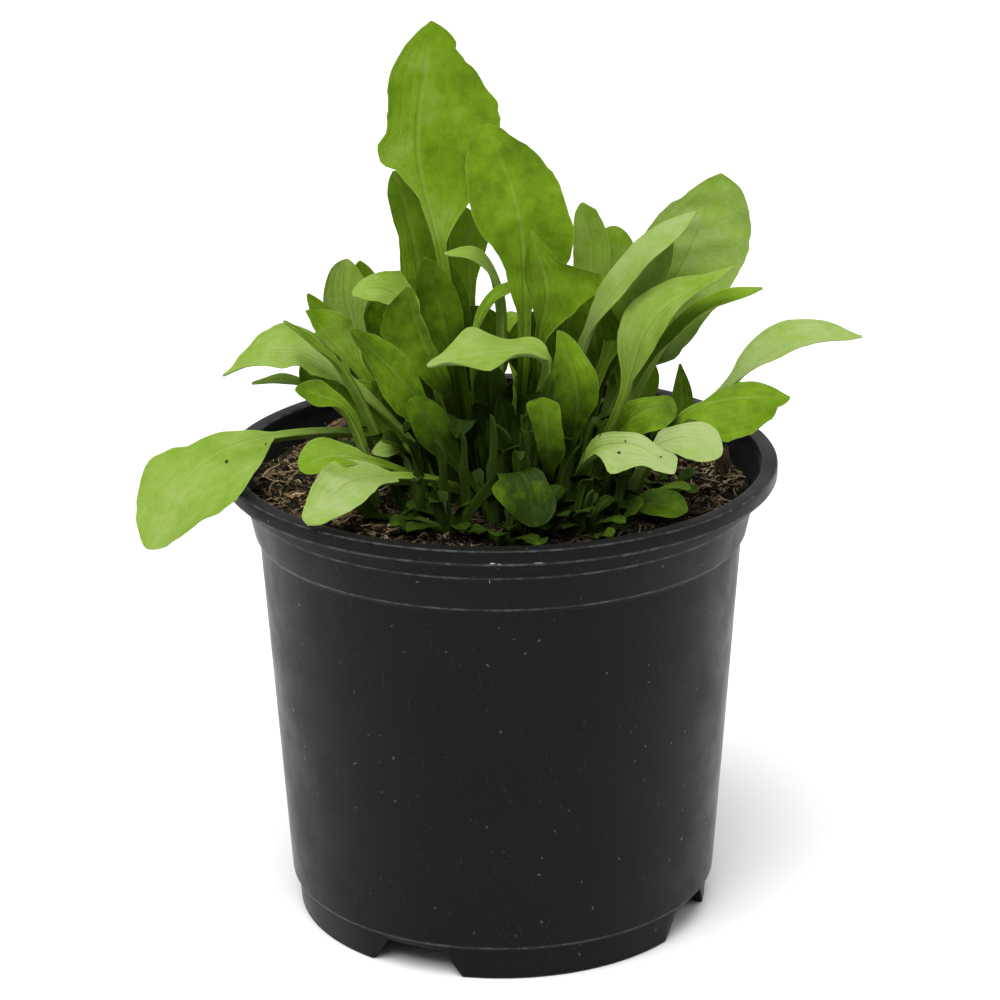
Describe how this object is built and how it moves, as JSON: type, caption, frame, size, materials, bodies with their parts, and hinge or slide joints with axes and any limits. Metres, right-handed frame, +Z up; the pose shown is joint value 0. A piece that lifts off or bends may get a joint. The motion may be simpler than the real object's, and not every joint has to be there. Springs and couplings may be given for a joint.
{
  "type": "potted broadleaf plantain",
  "caption": "Leafy broadleaf plantain rosette with long-stalked oval leaves, growing in soil in a round tapered black nursery pot.",
  "frame": {"origin": "centre of the pot's base, on the surface that it stands on", "axes": "+Z up; the picture is seen from -Y, so +X is to its right; the widest spread of the leaves is along X"},
  "size_m": [0.1682, 0.13, 0.2115],
  "materials": {
    "pot": "thin moulded black nursery-pot plastic, satin, with fine pale scuffs and specks",
    "soil": "rough dark peat and bark fibre mix with tan chips",
    "leaf": "soft waxy yellow-green leaf with pale parallel veins, light passing through",
    "young_leaf": "small deep-green leaves in the shade of the rosette"
  },
  "bodies": {
    "root": {"pot": "pot", "soil": "soil", "leaf_tallest": "leaf", "leaf_behind_tallest": "leaf", "leaf_tall_middle": "leaf", "leaf_back_left": "leaf", "leaf_back_middle": "leaf", "leaf_back_right": "leaf", "leaf_broad_right": "leaf", "leaf_curled": "leaf", "leaf_thin_arch_left": "leaf", "leaf_thin_arch_right": "leaf", "leaf_edge_on": "leaf", "leaf_between_right": "leaf", "leaf_arched_right": "leaf", "leaf_under_right": "leaf", "leaf_far_right": "leaf", "leaf_folded_right": "leaf", "leaf_spike": "leaf", "leaf_behind_arch": "leaf", "leaf_square_right": "leaf", "leaf_pale_right": "leaf", "leaf_pale_front": "leaf", "leaf_upright_front": "leaf", "leaf_short_front": "leaf", "leaf_wavy_centre": "leaf", "leaf_hanging_front": "leaf", "leaf_dark_front": "leaf", "leaf_front_left": "leaf", "leaf_round_left": "leaf", "leaf_tiny_left": "leaf", "leaf_far_left": "leaf", "leaf_left_dark": "leaf", "leaf_left_bright": "leaf", "leaf_left_round": "leaf", "leaf_left_upright": "leaf", "leaf_left_light": "leaf", "leaf_left_pointed": "leaf", "leaf_left_thin": "leaf", "leaf_left_arching": "leaf", "leaf_left_low_thin": "leaf", "leaf_left_low": "leaf", "leaf_low_right": "leaf", "leaf_low_right_small": "leaf", "leaf_rear_left": "leaf", "leaf_rear_left_inner": "leaf", "leaf_rear_middle": "leaf", "leaf_rear_middle_right": "leaf", "leaf_rear_right": "leaf", "leaf_rear_right_short": "leaf", "young_front_left": "young_leaf", "young_front": "young_leaf", "young_front_middle": "young_leaf", "young_front_right": "young_leaf", "young_right": "young_leaf", "young_centre_back": "young_leaf", "young_centre_front": "young_leaf", "young_rear_left": "young_leaf", "young_rear": "young_leaf", "young_rear_right": "young_leaf"}
  },
  "joints": []
}
